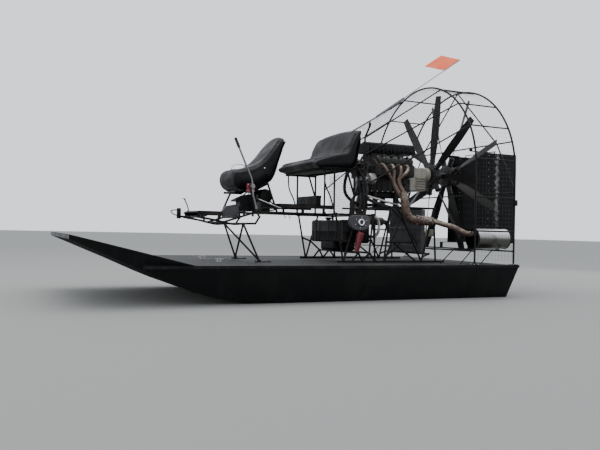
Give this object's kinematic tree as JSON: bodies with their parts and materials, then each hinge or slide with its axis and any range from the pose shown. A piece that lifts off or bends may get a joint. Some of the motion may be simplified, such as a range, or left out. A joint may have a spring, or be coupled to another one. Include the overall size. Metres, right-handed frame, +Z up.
{
  "type": "airboat",
  "caption": "Flat-bottomed airboat with a raised driver's seat, passenger bench, V8 engine, caged contra-rotating propellers and twin rudders.",
  "frame": {"origin": "on the ground, under the middle of the boat's overall box", "axes": "+X aft towards the rudders, +Y to starboard, +Z up"},
  "size_m": [5.836, 2.38, 2.9424],
  "materials": {
    "black_paint": "satin",
    "deck_grey": "matte",
    "rim_grey": "satin",
    "frame_black": "satin",
    "vinyl_black": "satin",
    "plastic_black": "satin",
    "engine_dark": "satin",
    "alloy": "satin",
    "steel": "satin",
    "rust": "matte",
    "chrome": "polished",
    "blade_grey": "satin",
    "flag_orange": "matte",
    "red_paint": "satin",
    "panel_grey": "satin"
  },
  "bodies": {
    "boat": {"hull": "black_paint", "deck": "deck_grey", "gunwale_port": "rim_grey", "gunwale_starboard": "rim_grey", "seat_stand": "frame_black", "foot_platform": "frame_black", "throttle_pedal": "frame_black", "bench_stand": "frame_black", "engine_stand": "frame_black", "passenger_platform": "frame_black", "cage_front_hoop": "frame_black", "cage_rear_hoop": "frame_black", "cage_struts_port": "frame_black", "cage_struts_starboard": "frame_black", "driver_seat_pad": "vinyl_black", "bench_pad": "vinyl_black", "driver_seat_shell": "plastic_black", "battery_box": "plastic_black", "bench_shell": "plastic_black", "fuel_tank": "plastic_black", "air_box": "plastic_black", "flag_mast": "plastic_black", "canister": "plastic_black", "rear_box": "plastic_black", "kick_panel": "panel_grey", "pump_housing": "panel_grey", "radiator": "panel_grey", "stick_bearing": "red_paint", "red_bottle": "red_paint", "engine_block": "engine_dark", "cylinder_head_port": "engine_dark", "cylinder_head_starboard": "engine_dark", "gearbox": "alloy", "alternator": "alloy", "oil_cooler": "alloy", "valve_cover_port": "alloy", "valve_cover_starboard": "alloy", "header_port": "rust", "header_starboard": "rust", "exhaust_pipe_port": "rust", "exhaust_pipe_starboard": "rust", "pump_ring": "chrome", "muffler_port": "chrome", "muffler_starboard": "chrome", "front_pulleys": "steel", "cleat_port": "steel", "cleat_starboard": "steel", "flag": "flag_orange"},
    "steering_stick": {"steering_stick": "steel", "stick_grip": "plastic_black"},
    "front_propeller": {"front_prop_blades": "blade_grey", "front_prop_hub": "steel"},
    "rear_propeller": {"rear_prop_blades": "blade_grey", "rear_prop_hub": "steel"},
    "rudder_port": {"rudder_port": "black_paint"},
    "rudder_starboard": {"rudder_starboard": "black_paint"},
    "rudder_tie_bar": {"rudder_tie_bar": "frame_black"}
  },
  "joints": [
    {"name": "front_propeller_spin", "type": "hinge", "parent": "boat", "child": "front_propeller", "pos_m": [1.739, 0, 1.519], "axis": [1, 0, 0], "continuous": true},
    {"name": "rear_propeller_spin", "type": "hinge", "parent": "boat", "child": "rear_propeller", "pos_m": [1.989, 0, 1.519], "axis": [1, 0, 0], "continuous": true},
    {"name": "rudder_port_turn", "type": "hinge", "parent": "boat", "child": "rudder_port", "pos_m": [2.389, -0.3, 1.19], "axis": [0, 0, 1], "range_deg": [-30, 30]},
    {"name": "rudder_starboard_turn", "type": "hinge", "parent": "boat", "child": "rudder_starboard", "pos_m": [2.389, 0.3, 1.19], "axis": [0, 0, 1], "range_deg": [-30, 30]},
    {"name": "steering_stick_tilt", "type": "hinge", "parent": "boat", "child": "steering_stick", "pos_m": [-0.923, -0.3753, 1.23], "axis": [0, 1, 0], "range_deg": [-20, 20]},
    {"name": "tie_bar_swing", "type": "hinge", "parent": "rudder_port", "child": "rudder_tie_bar", "pos_m": [2.539, -0.3, 1.86], "axis": [0, 0, 1], "range_deg": [-30, 30]}
  ],
  "couplings": [
    {"joint": "rear_propeller_spin", "follows": "front_propeller_spin", "ratio": -1},
    {"joint": "rudder_starboard_turn", "follows": "rudder_port_turn", "ratio": 1},
    {"joint": "steering_stick_tilt", "follows": "rudder_port_turn", "ratio": 0.6667},
    {"joint": "tie_bar_swing", "follows": "rudder_port_turn", "ratio": -1}
  ]
}
